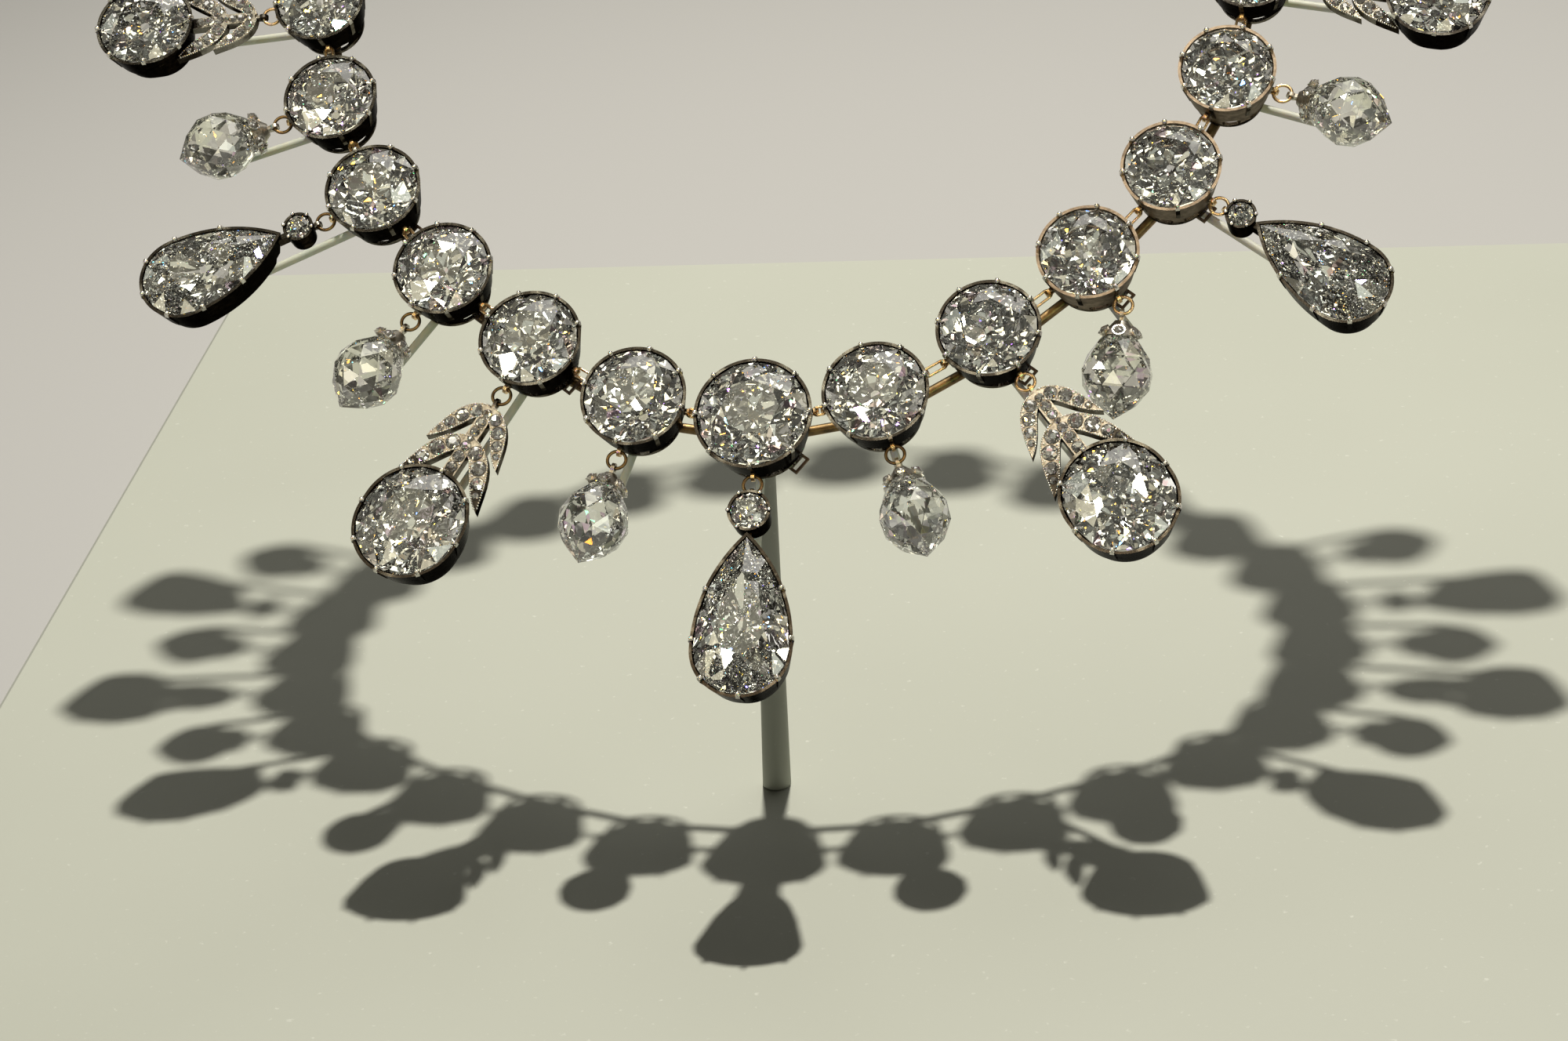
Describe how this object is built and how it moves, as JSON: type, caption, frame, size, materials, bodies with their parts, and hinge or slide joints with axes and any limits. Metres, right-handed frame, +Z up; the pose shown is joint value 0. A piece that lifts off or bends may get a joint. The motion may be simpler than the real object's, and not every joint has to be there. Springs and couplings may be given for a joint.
{
  "type": "diamond necklace on a display stand",
  "caption": "Necklace of round diamonds in dark collets with pear, leaf and briolette drops, lying on a sloping wire frame on a post and a square block.",
  "frame": {"origin": "centre of the block's underside", "axes": "+Z up, -Y toward the necklace's centre drop and the viewer, +X to the viewer's right"},
  "size_m": [0.218, 0.218, 0.1524],
  "materials": {
    "oxidised_silver": "dark oxidised silver, satin",
    "bright_silver": "bright silver, finely beaded",
    "gold": "polished gold",
    "diamond": "polished facets",
    "tinted_diamond": "polished facets, faintly yellow",
    "stand_metal": "dark patinated brass wire",
    "painted_metal": "matt pale grey-green paint",
    "painted_board": "matt pale grey-green paint"
  },
  "bodies": {
    "root": {"collet_l5": "oxidised_silver", "stone_l5": "diamond", "briolette_cap_l5": "bright_silver", "briolette_l5": "tinted_diamond", "collet_l4": "oxidised_silver", "stone_l4": "diamond", "pear_setting_l4": "oxidised_silver", "pear_stones_l4": "diamond", "collet_l3": "oxidised_silver", "stone_l3": "diamond", "briolette_cap_l3": "bright_silver", "briolette_l3": "tinted_diamond", "collet_l2": "oxidised_silver", "stone_l2": "diamond", "leaf_setting_l2": "bright_silver", "oval_stone_l2": "diamond", "collet_l1": "oxidised_silver", "stone_l1": "diamond", "briolette_cap_l1": "bright_silver", "briolette_l1": "diamond", "collet_c": "oxidised_silver", "stone_c": "diamond", "pear_setting_c": "oxidised_silver", "pear_stones_c": "diamond", "collet_r1": "oxidised_silver", "stone_r1": "diamond", "briolette_cap_r1": "bright_silver", "briolette_r1": "diamond", "collet_r2": "oxidised_silver", "stone_r2": "diamond", "leaf_setting_r2": "bright_silver", "oval_stone_r2": "diamond", "collet_r3": "oxidised_silver", "stone_r3": "diamond", "briolette_cap_r3": "bright_silver", "briolette_r3": "tinted_diamond", "collet_r4": "oxidised_silver", "stone_r4": "diamond", "pear_setting_r4": "oxidised_silver", "pear_stones_r4": "diamond", "collet_r5": "oxidised_silver", "stone_r5": "diamond", "briolette_cap_r5": "bright_silver", "briolette_r5": "tinted_diamond", "collets_back_left": "oxidised_silver", "collets_back_right": "oxidised_silver", "stones_back_left": "diamond", "stones_back_right": "diamond", "drop_settings_back": "oxidised_silver", "drop_stones_back": "diamond", "leaf_stones": "diamond", "chain_links": "gold", "clasp": "gold", "drop_rings": "gold", "stand_frame": "stand_metal", "stand_post": "painted_metal", "stand_block": "painted_board"}
  },
  "joints": []
}
